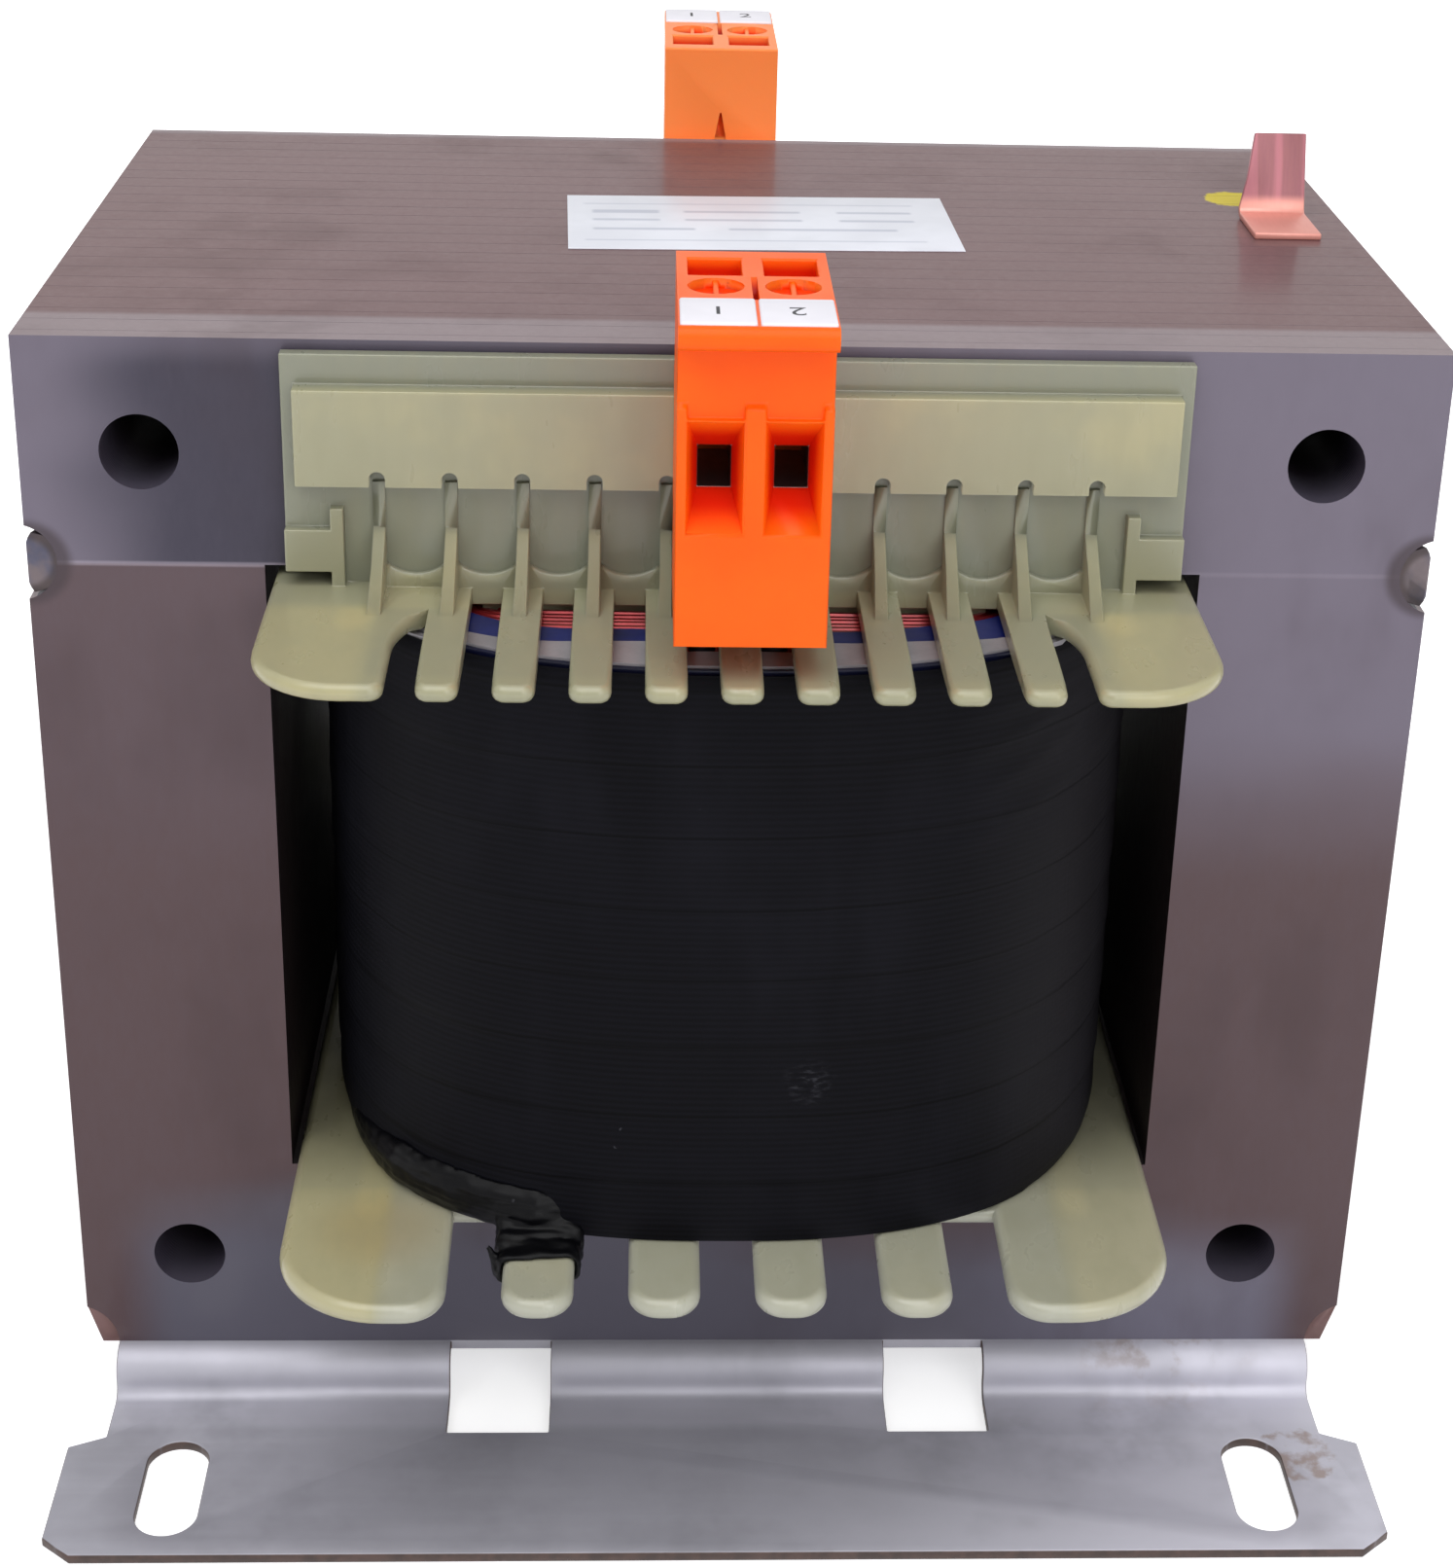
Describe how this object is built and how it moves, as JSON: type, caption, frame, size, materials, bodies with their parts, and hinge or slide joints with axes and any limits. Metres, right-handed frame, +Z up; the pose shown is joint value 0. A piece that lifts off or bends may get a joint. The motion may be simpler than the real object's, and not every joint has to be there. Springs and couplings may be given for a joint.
{
  "type": "laminated chassis transformer",
  "caption": "Open-frame mains transformer: welded E-I steel core on two bent sheet feet, moulded comb bobbin with a taped coil, clamp terminals at front and rear, and an earth tab.",
  "frame": {"origin": "middle of the footprint, on the plane that the feet stand on", "axes": "X is the width of the core, +Y points from the front terminal to the rear one, +Z is up"},
  "size_m": [0.1512, 0.1552, 0.143],
  "materials": {
    "core_steel": "varnished sheet edges",
    "foot_steel": "cold rolled",
    "weld_metal": "weld bead with heat tint",
    "bobbin_plastic": "natural, slightly translucent",
    "copper": "enamelled copper wire",
    "film": "blue film",
    "paper": "insulating paper",
    "black_tape": "black tape",
    "sleeve": "insulating sleeve",
    "terminal_plastic": "moulded, satin",
    "clamp_metal": "plated",
    "contact_metal": "plain",
    "marker": "satin",
    "tab_metal": "copper plated",
    "label": "satin"
  },
  "bodies": {
    "root": {"e_lamination_stack": "core_steel", "i_lamination_stack": "core_steel", "joint_weld_left": "weld_metal", "joint_weld_right": "weld_metal", "base_weld_left": "weld_metal", "base_weld_right": "weld_metal", "front_foot": "foot_steel", "rear_foot": "foot_steel", "bobbin": "bobbin_plastic", "primary_winding": "copper", "interlayer_insulation": "paper", "secondary_winding": "copper", "inner_film_wrap": "film", "paper_wrap": "paper", "outer_film_wrap": "film", "black_tape_wrap": "black_tape", "tape_tail": "black_tape", "front_left_lead": "copper", "front_right_lead": "copper", "rear_left_lead": "copper", "rear_right_lead": "copper", "front_left_sleeve": "sleeve", "front_right_sleeve": "sleeve", "rear_left_sleeve": "sleeve", "rear_right_sleeve": "sleeve", "front_terminal_body": "terminal_plastic", "rear_terminal_body": "terminal_plastic", "front_clamp_cages": "clamp_metal", "rear_clamp_cages": "clamp_metal", "front_clamp_springs": "clamp_metal", "rear_clamp_springs": "clamp_metal", "front_contact_bars": "contact_metal", "rear_contact_bars": "contact_metal", "front_marker_left": "marker", "front_marker_right": "marker", "rear_marker_left": "marker", "rear_marker_right": "marker", "earth_tab": "tab_metal", "rating_label": "label"}
  },
  "joints": []
}
